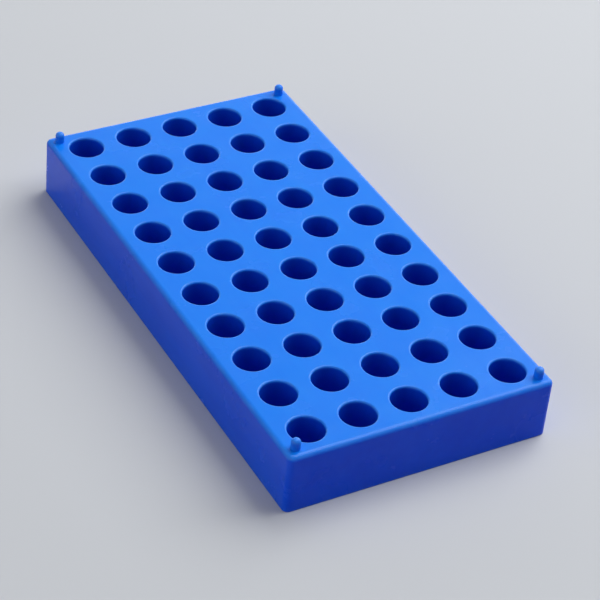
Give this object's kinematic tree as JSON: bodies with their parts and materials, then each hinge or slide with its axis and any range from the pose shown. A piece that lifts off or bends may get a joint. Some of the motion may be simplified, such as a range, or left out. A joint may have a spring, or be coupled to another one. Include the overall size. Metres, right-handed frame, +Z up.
{
  "type": "microcentrifuge tube rack",
  "caption": "Low rectangular plastic rack with a grid of round blind wells for small tubes, straight side walls open underneath and a short stacking peg near each corner.",
  "frame": {"origin": "centre of the base, on the plane that the skirt stands on", "axes": "+X across the rack, +Y along it, +Z up out of the wells"},
  "size_m": [0.091, 0.1764, 0.0247],
  "materials": {
    "blue_polypropylene": "satin moulded polypropylene"
  },
  "bodies": {
    "root": {"tube_rack": "blue_polypropylene"}
  },
  "joints": []
}
